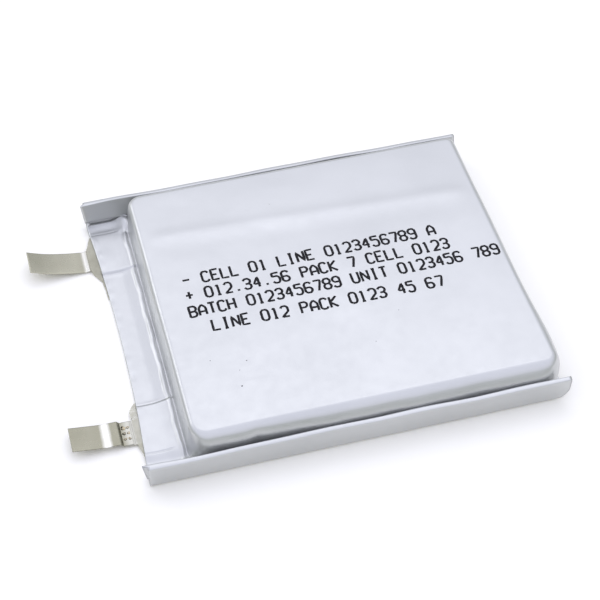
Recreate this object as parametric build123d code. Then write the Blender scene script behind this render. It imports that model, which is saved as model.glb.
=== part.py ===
"""Lithium-ion pouch cell, 5.0 x 40 x 45 mm, as an assembly of separate solids.

One sheet of aluminium laminate is drawn into a cup, folded over at the +X end and heat-sealed
round the other three sides. The side seals are folded up and hemmed, and the seal at the -X end
is the flat terrace that the two tabs leave through. Inside is a flat-wound roll of cathode,
separator, anode and separator.

Millimetres. +Z is up, +X runs from the tabs to the folded end, and the origin is the centre of
the flat back face of the pouch.
"""

from build123d import *
import math
import os

# Pouch
LENGTH = 45.0
WIDTH = 40.6  # over the tops of the folded sides, which lean out
THICKNESS = 5.0
FILM = 0.115  # one layer of laminate
TERRACE = 4.5  # from the tab-side edge to the foot of the cup
EDGE_BOW = 0.69  # how far the middle of the tab-side edge is trimmed back, in an arc
EDGE_CHORD = 37.8  # width of that arc
FOLD_MARGIN = 0.45  # from the foot of the cup to the folded end
CUP_WIDTH = 37.5
CUP_CORNER = 2.2
CUP_EDGE = 1.0
CUP_DRAFT = 5.0  # degrees
CUP_FOOT = 0.3  # fillet where the wall meets the seal

# Side seals, folded up and hemmed inwards
FLANGE_HEIGHT = 3.5
FLANGE_LEAN = 8.5  # degrees outwards
FLANGE_ROOT = 0.55  # outside radius at the foot of the fold
HEM_GAP = 0.04
HEM_DEPTH = 2.0
FLANGE_END_RADIUS = 2.0  # rounded lower corner at the folded end

# Tabs
TAB_WIDTH = 3.3
TAB_METAL = 0.10
TAB_SPACING = 26.3  # between the centres of the two tabs
TAB_OFFSET = 0.7  # from the middle of the pouch to the middle of the pair
NEGATIVE_TAB_REACH = 7.45  # how far the tabs stand out of the pouch
POSITIVE_TAB_REACH = 6.95
SEALANT = 0.08  # one strip of sealing film
SEALANT_WIDTH = 7.0
SEALANT_LAND = 3.6  # length of sealing film inside the seal
NEGATIVE_SEALANT_REACH = 0.65  # how far the sealing film stands out of the pouch
POSITIVE_SEALANT_REACH = 0.25
BEND_SETBACK = 0.18  # from the sealing film to the line that the tab bends on
BEND_CLEARANCE = 0.02
NEGATIVE_CURVE = 9.0  # radius that the free tab curves up with
NEGATIVE_RISE = 22.5  # degrees, slope of its outer part
POSITIVE_CURVE = 4.0
POSITIVE_RISE = 8.5
WELD_SETBACK = 0.15  # from the bend line to the end of the nickel strip
WELD_PLATE = 1.05  # length of nickel strip that lies on the aluminium tab
WELD_STEP = 0.33  # how far the nickel strip steps up beyond the welds
WELD_RADIUS = 0.18
WELD_PITCH_X = 0.48
WELD_PITCH_Y = 0.76

# Wound roll: strips in the order in which they lie, from the core outwards
TURNS = 6
CORE_GAP = 0.22  # half the open gap in the middle of the roll
ROLL_WIDTH = 35.8
LAYER_GAP = 0.002
CATHODE_COATING = 0.053
CATHODE_FOIL = 0.016
ANODE_COATING = 0.060
ANODE_FOIL = 0.012
SEPARATOR = 0.020
SEPARATOR_SPAN = (-16.3, 20.95)  # X limits
ANODE_SPAN = (-15.8, 20.45)
CATHODE_SPAN = (-15.3, 19.95)
TAPE = 0.028
TAPE_CLEARANCE = 0.02
TAPE_MARGIN = 0.3  # how far the tape reaches past each side of a tab inside the roll

# Worked-out places
X_TAB_END = -LENGTH / 2
X_FOLD_END = LENGTH / 2
SEAL_Z = FILM  # the plane where the two halves of the pouch meet
TAB_Z = SEAL_Z + SEALANT  # underside of the tabs in the seal
TAB_MID_Z = TAB_Z + TAB_METAL / 2
SEALED_STACK = 2 * SEALANT + TAB_METAL
NEGATIVE_Y = TAB_OFFSET + TAB_SPACING / 2
POSITIVE_Y = TAB_OFFSET - TAB_SPACING / 2
X_CUP_FOOT = X_TAB_END + TERRACE
CUP_LENGTH = LENGTH - TERRACE - FOLD_MARGIN
CUP_X = X_CUP_FOOT + CUP_LENGTH / 2


# ---------------------------------------------------------------- drawing helpers


def unit(a, b):
    """Direction from a to b, in a plane."""
    length = math.hypot(b[0] - a[0], b[1] - a[1])
    return ((b[0] - a[0]) / length, (b[1] - a[1]) / length)


def rounded_track(points, radii, shift):
    """The path through points, its corners rounded, moved sideways by shift (left is positive).

    The rounded corners of every shift share their centres, so strips drawn from one path nest.
    Returns a start point and steps: (end,) for a line and (middle, end) for an arc.
    """
    headings = [unit(a, b) for a, b in zip(points, points[1:])]
    first = headings[0]
    start = (points[0][0] - shift * first[1], points[0][1] + shift * first[0])
    steps = []
    for corner, radius, before, after in zip(points[1:-1], radii, headings, headings[1:]):
        turn = math.atan2(
            before[0] * after[1] - before[1] * after[0],
            before[0] * after[0] + before[1] * after[1],
        )
        side = math.copysign(1.0, turn)
        tangent = radius * math.tan(abs(turn) / 2)
        touch = (corner[0] - tangent * before[0], corner[1] - tangent * before[1])
        leave = (corner[0] + tangent * after[0], corner[1] + tangent * after[1])
        centre = (touch[0] - side * radius * before[1], touch[1] + side * radius * before[0])
        out = unit(centre, corner)
        reach = radius - side * shift
        steps.append(((touch[0] - shift * before[1], touch[1] + shift * before[0]),))
        middle = (centre[0] + reach * out[0], centre[1] + reach * out[1])
        steps.append((middle, (leave[0] - shift * after[1], leave[1] + shift * after[0])))
    last = headings[-1]
    steps.append(((points[-1][0] - shift * last[1], points[-1][1] + shift * last[0]),))
    return start, steps


def track_edges(track):
    """Lines and arcs along a track, and the points where it starts and ends."""
    start, steps = track
    here = start
    edges = []
    for step in steps:
        there = step[-1]
        if math.dist(here, there) > 1e-6:
            if len(step) == 1:
                edges.append(Line(here, there))
            else:
                edges.append(ThreePointArc(here, step[0], there))
            here = there
    return edges, start, here


def band(near_track, far_track):
    """The flat face between two tracks that run side by side."""
    near, near_start, near_end = track_edges(near_track)
    far, far_start, far_end = track_edges(far_track)
    caps = [Line(near_start, far_start), Line(near_end, far_end)]
    return make_face([*near, *far, *caps])


def ribbon(points, radii, near, far):
    """A bent strip seen edge-on, between two sideways shifts of one path."""
    return band(rounded_track(points, radii, near), rounded_track(points, radii, far))


def along_x(face, start, end):
    """A face drawn in (Y, Z), drawn out along X."""
    return extrude(Plane.YZ.offset(start) * face, end - start)


def across_y(face, middle, width):
    """A face drawn in (X, Z), drawn out along Y to both sides of middle."""
    plane = Plane(origin=(0, middle, 0), x_dir=(1, 0, 0), z_dir=(0, -1, 0))
    return extrude(plane * face, width / 2, both=True)


def block(x, y, z):
    """A box between three pairs of limits."""
    size = (x[1] - x[0], y[1] - y[0], z[1] - z[0])
    return Pos((x[0] + x[1]) / 2, (y[0] + y[1]) / 2, (z[0] + z[1]) / 2) * Box(*size)


# ---------------------------------------------------------------- pouch


def flange_path():
    """Outside of the pouch across Y: hem, side, underside, side, hem."""
    lean = math.tan(math.radians(FLANGE_LEAN))
    hem = 4 * FILM + HEM_GAP
    top_y = WIDTH / 2
    foot_y = top_y - FLANGE_HEIGHT * lean
    hem_z = FLANGE_HEIGHT - HEM_DEPTH
    half = [
        (foot_y - hem + hem_z * lean, hem_z),
        (top_y - hem, FLANGE_HEIGHT),
        (top_y, FLANGE_HEIGHT),
        (foot_y, 0.0),
    ]
    points = half + [(-y, z) for y, z in reversed(half)]
    fold = hem / 2 * 0.96
    return points, [fold, fold, FLANGE_ROOT, FLANGE_ROOT, fold, fold]


def rounded_flange_ends():
    """What is trimmed off the lower corners of the side seals at the folded end."""
    size = FLANGE_END_RADIUS
    corner = block(
        (X_FOLD_END - size, X_FOLD_END + 1), (-WIDTH, WIDTH), (-1, size)
    ) - Pos(X_FOLD_END - size, 0, size) * Rot(90, 0, 0) * Cylinder(size, 2 * WIDTH)
    clear_y = CUP_WIDTH / 2 + 0.25
    return corner - block((-LENGTH, LENGTH), (-clear_y, clear_y), (-2, THICKNESS))


def trimmed_edge():
    """What is trimmed off the tab-side edge: the segment of a circle."""
    radius = ((EDGE_CHORD / 2) ** 2 + EDGE_BOW**2) / (2 * EDGE_BOW)
    return Pos(X_TAB_END + EDGE_BOW - radius, 0, 0) * Cylinder(radius, THICKNESS)


def pouch_back():
    """The flat half of the laminate, whose sides wrap the outside of the folded seals."""
    points, radii = flange_path()
    sheet = along_x(ribbon(points, radii, 0.0, -FILM), X_TAB_END, X_FOLD_END)
    return sheet - rounded_flange_ends() - trimmed_edge()


def cup_block(inset, top):
    """The drawn cup as a solid block: inset narrower all round than the outside of the cup."""
    outline = RectangleRounded(
        CUP_LENGTH - 2 * inset, CUP_WIDTH - 2 * inset, CUP_CORNER - inset
    )
    solid = extrude(Plane((CUP_X, 0, SEAL_Z)) * outline, top - SEAL_Z, taper=CUP_DRAFT)
    return fillet(solid.faces().sort_by(Axis.Z)[-1].edges(), CUP_EDGE - inset)


def tab_pad(y):
    """Where the seal stands proud over one tab."""
    side = SEALANT_WIDTH / 2 + 0.3
    reach = (X_TAB_END, X_CUP_FOOT + 1.0)
    pad = block(reach, (y - side, y + side), (SEAL_Z, SEAL_Z + SEALED_STACK + FILM))
    top = pad.faces().sort_by(Axis.Z)[-1]
    return chamfer(top.edges().filter_by(Axis.X), SEALED_STACK - 0.02)


def tab_channel(y):
    """The space that one tab and its sealing films take up between the two halves."""
    side = SEALANT_WIDTH / 2
    return block(
        (X_TAB_END - 1, X_CUP_FOOT + 1.2),
        (y - side, y + side),
        (SEAL_Z - 1, SEAL_Z + SEALED_STACK),
    )


def pouch_cup():
    """The drawn half of the laminate: cup, terrace and the inner layer of the folded seals."""
    points, radii = flange_path()
    sheet = along_x(ribbon(points, radii, -FILM, -2 * FILM), X_TAB_END, X_FOLD_END)
    shape = sheet + cup_block(0, THICKNESS)
    foot = [
        e
        for e in shape.edges().filter_by_position(
            Axis.Z, SEAL_Z + FILM - 0.01, SEAL_Z + FILM + 0.01
        )
        if abs(e.center().Y) < CUP_WIDTH / 2 + 0.01
        and X_CUP_FOOT - 0.01 < e.center().X < X_FOLD_END - FOLD_MARGIN + 0.01
    ]
    shape = fillet(foot, CUP_FOOT)
    for y in (NEGATIVE_Y, POSITIVE_Y):
        shape += tab_pad(y)
    shape -= cup_block(FILM, THICKNESS - FILM)
    for y in (NEGATIVE_Y, POSITIVE_Y):
        shape -= tab_channel(y)
    return shape - rounded_flange_ends() - trimmed_edge()


# ---------------------------------------------------------------- tabs


def sealant_strip(y, reach, upper):
    """One of the two films that seal a tab in. The pair meets beside the tab at mid-height."""
    start = X_TAB_END - reach
    end = X_TAB_END + SEALANT_LAND
    side = SEALANT_WIDTH / 2
    plan = Polygon(
        (end, y - side),
        (end, y + side),
        (X_TAB_END + 0.1, y + side),
        (start, y + side - reach - 0.1),
        (start, y - side + reach + 0.1),
        (X_TAB_END + 0.1, y - side),
        align=None,
    )
    tab = (y - TAB_WIDTH / 2, y + TAB_WIDTH / 2)
    slot = block((start - 1, end + 1), tab, (TAB_Z, TAB_Z + TAB_METAL))
    low = TAB_MID_Z if upper else SEAL_Z
    strip = extrude(Plane((0, 0, low)) * plan, SEALED_STACK / 2)
    return strip - slot


def bend_x(reach):
    """The line across the tab that its free end bends on."""
    return X_TAB_END - reach - BEND_SETBACK


def inner_tab(y, reach, core_z, weld_end):
    """The fixed part of a tab: from the core of the roll, down to the seal and just out of it."""
    roll_end = SEPARATOR_SPAN[0]
    out = bend_x(reach) + TAB_METAL / 2 + BEND_CLEARANCE
    points = [
        (weld_end, core_z),
        (roll_end - 0.25, core_z),
        (X_CUP_FOOT + 0.35, TAB_Z),
        (out, TAB_Z),
    ]
    strip = ribbon(points, [0.4, 0.4], 0.0, -TAB_METAL)
    return across_y(strip, y, TAB_WIDTH)


def free_strip(points, radii, y):
    """The free end of a tab, round where it meets the fixed part, so that it can turn there."""
    strip = across_y(ribbon(points, radii, TAB_METAL / 2, -TAB_METAL / 2), y, TAB_WIDTH)
    knuckle = Pos(points[0][0], y, points[0][1]) * Rot(90, 0, 0) * Cylinder(
        TAB_METAL / 2, TAB_WIDTH
    )
    return strip + knuckle


def rising_to(reach, corner, rise):
    """Tip of a tab that rises from a corner at an angle and stands out of the pouch by reach."""
    x = X_TAB_END - reach
    return (x, corner[1] + (corner[0] - x) * math.tan(math.radians(rise)))


def negative_tab_outer():
    """Free end of the nickel tab: flat out of the sealing film, then gently curved up."""
    x = bend_x(NEGATIVE_SEALANT_REACH)
    corner = (x - 0.9 - NEGATIVE_CURVE * math.tan(math.radians(NEGATIVE_RISE / 2)), TAB_MID_Z)
    tip = rising_to(NEGATIVE_TAB_REACH, corner, NEGATIVE_RISE)
    return free_strip([(x, TAB_MID_Z), corner, tip], [NEGATIVE_CURVE], NEGATIVE_Y)


def weld_centres():
    """Middles of the spot welds: two along the weld plate, three across it."""
    middle = bend_x(POSITIVE_SEALANT_REACH) - WELD_SETBACK - WELD_PLATE / 2
    return [
        (middle + i * WELD_PITCH_X, POSITIVE_Y + j * WELD_PITCH_Y)
        for i in (-0.5, 0.5)
        for j in (-1, 0, 1)
    ]


def weld_nuggets(radius, low, high):
    """A disc for each spot weld, between two heights."""
    discs = [
        Pos(x, y, (low + high) / 2) * Cylinder(radius, high - low) for x, y in weld_centres()
    ]
    return Compound(children=discs)


def positive_tab_outer():
    """Free end of the aluminium tab, short, with the nickel strip welded on top of it."""
    x = bend_x(POSITIVE_SEALANT_REACH)
    end = (x - WELD_SETBACK - WELD_PLATE, TAB_MID_Z)
    strip = free_strip([(x, TAB_MID_Z), end], [], POSITIVE_Y)
    for nugget in weld_nuggets(WELD_RADIUS, TAB_Z + TAB_METAL / 2, TAB_Z + 1).children:
        strip -= nugget
    return strip


def positive_nickel_strip():
    """Nickel strip on the aluminium tab: welded flat, a small step up, then a long blade."""
    x = bend_x(POSITIVE_SEALANT_REACH) - WELD_SETBACK
    low = TAB_Z + TAB_METAL + TAB_METAL / 2
    step = (x - WELD_PLATE - 0.05, low)
    crest = (step[0] - 0.25, low + WELD_STEP)
    corner = (crest[0] - 1.7, crest[1])
    tip = rising_to(POSITIVE_TAB_REACH, corner, POSITIVE_RISE)
    path = [(x, low), step, crest, corner, tip]
    face = ribbon(path, [0.12, 0.15, POSITIVE_CURVE], TAB_METAL / 2, -TAB_METAL / 2)
    strip = across_y(face, POSITIVE_Y, TAB_WIDTH - 0.1)
    for nugget in weld_nuggets(WELD_RADIUS, TAB_Z, low + 1).children:
        strip -= nugget
    return strip


def spot_welds():
    """The nuggets that join the nickel strip to the aluminium tab, just below flush."""
    return weld_nuggets(
        WELD_RADIUS, TAB_Z + TAB_METAL / 2, TAB_Z + 2 * TAB_METAL - 0.02
    )


# ---------------------------------------------------------------- wound roll

CATHODE = 2 * CATHODE_COATING + CATHODE_FOIL
ANODE = 2 * ANODE_COATING + ANODE_FOIL
PITCH = CATHODE + ANODE + 2 * SEPARATOR + 8 * LAYER_GAP
HALF_PITCH = PITCH / 2
ROLL_OUTSIDE = CORE_GAP + (TURNS + 1) * PITCH
# Half the straight part of the winding: the widest turn is the one round the -Y side.
STRAIGHT = ROLL_WIDTH / 2 - (CORE_GAP + TURNS * PITCH) - HALF_PITCH / 2
# The roll is thicker above its winding centre than below, by the last half turn.
ROLL_Z = (SEAL_Z + THICKNESS - FILM) / 2 - HALF_PITCH


def winding_track(radius, end_y, start_y=None, lead=None):
    """One face of a strip wound flat: semicircles about two centres half a pitch apart.

    The strip starts on the first top run at start_y or, with lead = (y, z), as a straight lead
    inside the core, and ends on the last top run at end_y.
    """
    if lead:
        start = lead
        rise = (radius - lead[1]) / 2
        steps = [
            ((-STRAIGHT, lead[1]),),
            ((-STRAIGHT - rise, lead[1] + rise), (-STRAIGHT, radius)),
        ]
    else:
        start = (start_y, radius)
        steps = []
    for turn in range(TURNS):
        right = radius + turn * PITCH
        left = right + HALF_PITCH
        steps += [
            ((STRAIGHT, right),),
            ((STRAIGHT + right, 0.0), (STRAIGHT, -right)),
            ((-STRAIGHT, -right),),
            ((-STRAIGHT - left, HALF_PITCH), (-STRAIGHT, right + PITCH)),
        ]
    steps.append(((end_y, radius + TURNS * PITCH),))
    return start, steps


def wound_strip(depth, thickness, span, end_y, start_y=None, lead=None):
    """A strip whose inner face lies depth outside the core. lead = (y, its lower face's z)."""
    inner, outer = CORE_GAP + depth, CORE_GAP + depth + thickness
    leads = (None, None)
    if lead:
        leads = ((lead[0], lead[1] + thickness), lead)
    face = band(
        winding_track(inner, end_y, start_y, leads[0]),
        winding_track(outer, end_y, start_y, leads[1]),
    )
    return Pos(0, 0, ROLL_Z) * along_x(face, *span)


# Heights of what lies in the core, from its middle plane, lowest first.
SEPARATOR_LEAD_LOW = -0.190
ANODE_LEAD = SEPARATOR_LEAD_LOW + SEPARATOR + LAYER_GAP + 0.002
NEGATIVE_CORE = ANODE_LEAD + ANODE_FOIL + LAYER_GAP
NEGATIVE_TAPE = NEGATIVE_CORE + TAB_METAL + LAYER_GAP
SEPARATOR_LEAD_HIGH = NEGATIVE_TAPE + TAPE + LAYER_GAP
POSITIVE_TAPE = SEPARATOR_LEAD_HIGH + SEPARATOR + LAYER_GAP
POSITIVE_CORE = POSITIVE_TAPE + TAPE + LAYER_GAP
CATHODE_LEAD = POSITIVE_CORE + TAB_METAL + LAYER_GAP


def roll_strips():
    """The eight wound strips, each with its own name."""
    start_y = 1.5 - STRAIGHT
    far_lead = STRAIGHT - 0.3
    layers = [
        ("cathode_coating_inner", CATHODE_COATING, CATHODE_SPAN, 9.0, None),
        ("cathode_foil", CATHODE_FOIL, CATHODE_SPAN, 9.6, (POSITIVE_Y + 3.0, CATHODE_LEAD)),
        ("cathode_coating_outer", CATHODE_COATING, CATHODE_SPAN, 9.0, None),
        ("separator_inner", SEPARATOR, SEPARATOR_SPAN, 13.0, (far_lead, SEPARATOR_LEAD_HIGH)),
        ("anode_coating_inner", ANODE_COATING, ANODE_SPAN, 11.0, None),
        ("anode_foil", ANODE_FOIL, ANODE_SPAN, 11.6, (far_lead, ANODE_LEAD)),
        ("anode_coating_outer", ANODE_COATING, ANODE_SPAN, 11.0, None),
        ("separator_outer", SEPARATOR, SEPARATOR_SPAN, 13.6, (far_lead, SEPARATOR_LEAD_LOW)),
    ]
    made = {}
    depth = 0.0
    for name, thickness, span, end_y, lead in layers:
        if lead:
            made[name] = wound_strip(depth, thickness, span, end_y, lead=lead)
        else:
            made[name] = wound_strip(depth, thickness, span, end_y, start_y=start_y)
        depth += thickness + LAYER_GAP
    return made


def tab_tape(y, z):
    """Tape laid over the part of a tab that is inside the roll."""
    side = TAB_WIDTH / 2 + TAPE_MARGIN
    height = ROLL_Z + z
    return block(
        (SEPARATOR_SPAN[0] - 0.2, -5.0), (y - side, y + side), (height, height + TAPE)
    )


def termination_tape():
    """Tape that holds the end of the winding: over the step at its end and round one side."""
    top = ROLL_OUTSIDE + TAPE_CLEARANCE
    low = top - PITCH
    side = STRAIGHT + low
    points = [
        (6.0, top),
        (13.9, top),
        (14.5, low),
        (side, low),
        (side, -low),
        (6.0, -low),
    ]
    bend = low - 0.001
    face = ribbon(points, [0.3, 0.3, bend, bend], 0.0, TAPE)
    return Pos(0, 0, ROLL_Z) * along_x(face, -13.0, 18.5)


def bottom_tape():
    """Tape folded round the end of the roll that faces the fold of the pouch."""
    top = ROLL_Z + ROLL_OUTSIDE + TAPE_CLEARANCE
    low = ROLL_Z - (ROLL_OUTSIDE - PITCH) - TAPE_CLEARANCE
    end = SEPARATOR_SPAN[1] + TAPE_CLEARANCE
    points = [(end - 5.0, top), (end, top), (end, low), (end - 5.0, low)]
    return across_y(ribbon(points, [0.05, 0.05], 0.0, TAPE), -4.0, 14.0)


# ---------------------------------------------------------------- assembly


def build():
    """Every node of the assembly, by name."""
    nodes = {
        "pouch_back": pouch_back(),
        "pouch_cup": pouch_cup(),
        "negative_tab_inner": inner_tab(
            NEGATIVE_Y, NEGATIVE_SEALANT_REACH, ROLL_Z + NEGATIVE_CORE, -6.0
        ),
        "negative_tab_outer": negative_tab_outer(),
        "positive_tab_inner": inner_tab(
            POSITIVE_Y, POSITIVE_SEALANT_REACH, ROLL_Z + POSITIVE_CORE, -6.0
        ),
        "positive_tab_outer": positive_tab_outer(),
        "positive_nickel_strip": positive_nickel_strip(),
        "spot_welds": spot_welds(),
        "negative_tab_tape": tab_tape(NEGATIVE_Y, NEGATIVE_TAPE),
        "positive_tab_tape": tab_tape(POSITIVE_Y, POSITIVE_TAPE),
        "termination_tape": termination_tape(),
        "bottom_tape": bottom_tape(),
    }
    sides = {
        "negative": (NEGATIVE_Y, NEGATIVE_SEALANT_REACH),
        "positive": (POSITIVE_Y, POSITIVE_SEALANT_REACH),
    }
    for side, (y, reach) in sides.items():
        nodes[f"{side}_sealant_lower"] = sealant_strip(y, reach, upper=False)
        nodes[f"{side}_sealant_upper"] = sealant_strip(y, reach, upper=True)
    nodes.update(roll_strips())
    return nodes


os.makedirs("parts", exist_ok=True)
for node_name, shape in build().items():
    export_step(shape, f"parts/{node_name}.step")
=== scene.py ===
"""Looks of the pouch battery cell: two laminate films, two tabs with their sealing films, and the printed
lines. The pieces inside keep their CAD meshes and take their materials here."""

import math
import random

import bmesh
import bpy
import numpy as np
from mathutils import Matrix, Vector

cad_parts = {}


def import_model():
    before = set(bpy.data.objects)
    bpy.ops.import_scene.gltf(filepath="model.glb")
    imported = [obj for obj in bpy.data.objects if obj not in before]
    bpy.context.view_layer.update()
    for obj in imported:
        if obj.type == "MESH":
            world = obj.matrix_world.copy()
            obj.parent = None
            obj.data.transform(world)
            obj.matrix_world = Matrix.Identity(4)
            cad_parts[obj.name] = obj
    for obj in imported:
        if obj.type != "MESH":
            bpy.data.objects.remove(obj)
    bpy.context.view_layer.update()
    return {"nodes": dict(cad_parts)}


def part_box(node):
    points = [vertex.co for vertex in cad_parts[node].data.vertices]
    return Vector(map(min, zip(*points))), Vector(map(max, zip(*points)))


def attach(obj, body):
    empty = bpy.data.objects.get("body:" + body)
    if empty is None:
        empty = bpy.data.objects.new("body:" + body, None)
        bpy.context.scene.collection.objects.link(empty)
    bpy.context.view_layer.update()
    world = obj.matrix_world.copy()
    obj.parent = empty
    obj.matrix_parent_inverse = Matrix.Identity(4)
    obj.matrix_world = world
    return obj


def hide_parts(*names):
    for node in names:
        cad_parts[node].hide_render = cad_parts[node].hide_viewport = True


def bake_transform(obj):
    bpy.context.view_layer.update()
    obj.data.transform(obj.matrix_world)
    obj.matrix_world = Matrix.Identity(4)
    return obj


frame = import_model()
MM = 0.001


def box_mm(node):
    """The lowest and highest corner of a CAD node, in millimetres."""
    low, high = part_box(node)
    return np.array(low) / MM, np.array(high) / MM


# ---- sizes, in millimetres; the places come from the CAD frame ----
back_low, back_high = box_mm("pouch_back")

FILM = 0.115
TAB_EDGE_X, FOLD_X = back_low[0], back_high[0]
FLANGE_TOP_Z = back_high[2]
FLANGE_TOP_Y = back_high[1] + 0.04  # where the two straight faces of the fold would meet
FLANGE_LEAN = math.radians(8.5)
FLANGE_FOOT_Y = FLANGE_TOP_Y - FLANGE_TOP_Z * math.tan(FLANGE_LEAN)
FLANGE_ROOT = 0.55  # radius of the bend at the foot of a side seal
FOLD_RADIUS = 0.28
FOLD_SQUARE = 0.32  # 1 folds the top in a half circle, less presses it flatter
HEM_DEPTH = 2.55
FLANGE_END_RADIUS = 2.0
NOSE_X, NOSE_Y = 1.9, 1.0  # half axes of the rounded corners at the fold, seen from above
EDGE_BOW, EDGE_CHORD = 0.69, 37.8

CUP_MID_X, CUP_HALF_X, CUP_HALF_Y = 2.025, 20.025, 18.75
CORNER_NEAR_TAB, CORNER_NEAR_FOLD, CORNER_FAR_FOLD, CORNER_FAR_TAB = 2.3, 1.7, 1.4, 2.0
CUP_TOP_Z = box_mm("pouch_cup")[1][2]
CUP_SHOULDER_Z = CUP_TOP_Z - 0.10  # the outer face where the rounded shoulder ends
CUP_SHOULDER = 0.62
CUP_DRAFT = math.radians(5)
CUP_FOOT_X = CUP_MID_X - CUP_HALF_X  # the foot of the wall on the tab side
BULGE_FOOT_Z = 0.25  # the walls bulge between this height and the top
NEAR_BULGE, FAR_BULGE, FOLD_BULGE, TAB_BULGE = 0.71, 0.16, 0.18, 0.05
CROWN_INSET = 0.95  # the waves of the top start this far inside the foot of the walls
CROWN_RISE = 0.040
TAPE_EDGE_Y, TAPE_EDGE_RISE = 10.0, 0.042  # the edge of the roll's tape, showing through the top

BACK_MID_Z = FILM / 2
BACK_WAVE = 0.012
CUP_MID_Z = FILM * 1.5
PAD_RISE = 0.26
PADS_Y = ((11.3, 17.7), (-15.7, -9.1))
(FAR_PAD_INNER, FAR_PAD_OUTER), (NEAR_PAD_OUTER, NEAR_PAD_INNER) = PADS_Y
PAD_FALL = 1.5  # how far a pad takes to fall away towards the side seal
CREASE = 0.18  # half the width of the steps at the sides of a pad
GROOVE_DEPTH = 0.052
BEAD_START_X, BEAD_RISEN_X, BEAD_RISE = -20.1, -18.45, 0.20
CREST_X, CREST_RISE, CREST_WIDTH = -18.42, 0.155, 0.18
GUSSET_NEAR, GUSSET_FAR, GUSSET_WIDTH = 1.15, 0.85, 0.85
CORNER_LIFT = 0.45

TAB_THICK = 0.10
TAB_HALF_WIDTH = 1.65
STRIP_EDGE_RADIUS = 0.03
WELD_RADIUS = 0.18  # of the CAD's weld plugs


# ---- small helpers ----
def smooth(a, b, t):
    t = np.clip((np.asarray(t, float) - a) / (b - a), 0, 1)
    return t * t * (3 - 2 * t)


def bump(t, middle, width):
    return np.exp(-(((np.asarray(t, float) - middle) / width) ** 2))


def resample(points, count):
    """count + 1 evenly spaced points along a polyline."""
    points = np.asarray(points, float)
    steps = np.r_[0, np.cumsum(np.linalg.norm(np.diff(points, axis=0), axis=1))]
    at = steps[-1] * np.linspace(0, 1, count + 1)
    return np.stack([np.interp(at, steps, points[:, k]) for k in range(points.shape[1])], 1)


def arc(centre, radius, start, end, count):
    """Points of an arc in its plane, angles in degrees."""
    a = np.radians(np.linspace(start, end, count))
    return np.stack([centre[0] + radius * np.cos(a), centre[1] + radius * np.sin(a)], 1)


def spline(points, per_span=6):
    """A smooth line through the points (Catmull-Rom)."""
    p = np.asarray(points, float)
    p = np.vstack([2 * p[0] - p[1], p, 2 * p[-1] - p[-2]])
    out = []
    for i in range(1, len(p) - 2):
        for t in np.arange(per_span) / per_span:
            a, b, c, d = p[i - 1], p[i], p[i + 1], p[i + 2]
            square, cube = 2 * a - 5 * b + 4 * c - d, 3 * b - a - 3 * c + d
            out.append(0.5 * (2 * b + (c - a) * t + square * t**2 + cube * t**3))
    return np.array(out + [p[-2]])


def make_piece(name, verts, faces, material, body="pouch"):
    """A smooth mesh object from millimetre points, riding on a CAD body unless body is None."""
    mesh = bpy.data.meshes.new(name)
    mesh.from_pydata([tuple(np.asarray(v, float) * MM) for v in verts], [], faces)
    mesh.validate()
    mesh.update()
    mesh.polygons.foreach_set("use_smooth", [True] * len(mesh.polygons))
    obj = bpy.data.objects.new(name, mesh)
    bpy.context.scene.collection.objects.link(obj)
    mesh.materials.append(material)
    if body:
        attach(obj, body)
    return obj


def grid_faces(rows, columns, closed=False):
    """Quads between neighbouring rows of points; closed joins the two ends of every row."""
    return [(r * columns + c, r * columns + (c + 1) % columns,
             (r + 1) * columns + (c + 1) % columns, (r + 1) * columns + c)
            for r in range(rows - 1) for c in range(columns if closed else columns - 1)]


def align_faces(obj):
    """Turns all faces of a mesh the same way, outwards on a closed one."""
    bm = bmesh.new()
    bm.from_mesh(obj.data)
    bmesh.ops.recalc_face_normals(bm, faces=bm.faces)
    bm.to_mesh(obj.data)
    bm.free()


def solidify(obj, thickness):
    """Gives a sheet its thickness, half to each side, in the mesh itself."""
    align_faces(obj)
    mod = obj.modifiers.new("thickness", "SOLIDIFY")
    mod.thickness, mod.offset = thickness * MM, 0.0
    mod.use_even_offset = False
    graph = bpy.context.evaluated_depsgraph_get()
    mesh = bpy.data.meshes.new_from_object(obj.evaluated_get(graph))
    obj.modifiers.clear()
    obj.data = mesh


def edge_x(y):
    """The trimmed tab-side edge, a shallow arc."""
    radius = ((EDGE_CHORD / 2) ** 2 + EDGE_BOW**2) / (2 * EDGE_BOW)
    y = np.clip(np.abs(y), 0, EDGE_CHORD / 2)
    return TAB_EDGE_X + EDGE_BOW - radius + np.sqrt(radius**2 - y**2)


# ---- materials ----
def new_material(name):
    material = bpy.data.materials.new(name)
    material.use_nodes = True
    nodes, links = material.node_tree.nodes, material.node_tree.links
    shader = next(n for n in nodes if n.type == "BSDF_PRINCIPLED")
    return material, nodes, links, shader


def noise(nodes, links, scale, detail=4.0, roughness=0.55, stretch=None):
    """Noise in object space; scale is in features per metre, and stretch scales it along each axis."""
    coordinates = nodes.new("ShaderNodeTexCoord")
    texture = nodes.new("ShaderNodeTexNoise")
    source = coordinates.outputs["Object"]
    if stretch:
        mapping = nodes.new("ShaderNodeMapping")
        mapping.inputs["Scale"].default_value = stretch
        links.new(source, mapping.inputs["Vector"])
        source = mapping.outputs["Vector"]
    links.new(source, texture.inputs["Vector"])
    for key, value in (("Scale", scale), ("Detail", detail), ("Roughness", roughness)):
        texture.inputs[key].default_value = value
    return texture.outputs[0]


def ramp(nodes, links, source, low, high, start=0.3, end=0.7):
    """Two colours mixed by a value."""
    node = nodes.new("ShaderNodeValToRGB")
    for stop, place, colour in zip(node.color_ramp.elements, (start, end), (low, high)):
        stop.position, stop.color = place, (*colour, 1)
    links.new(source, node.inputs["Fac"])
    return node.outputs["Color"]


def paint(nodes, links, shader, *mix):
    """The base colour, mixed from two by a value."""
    links.new(ramp(nodes, links, *mix), shader.inputs["Base Color"])


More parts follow.
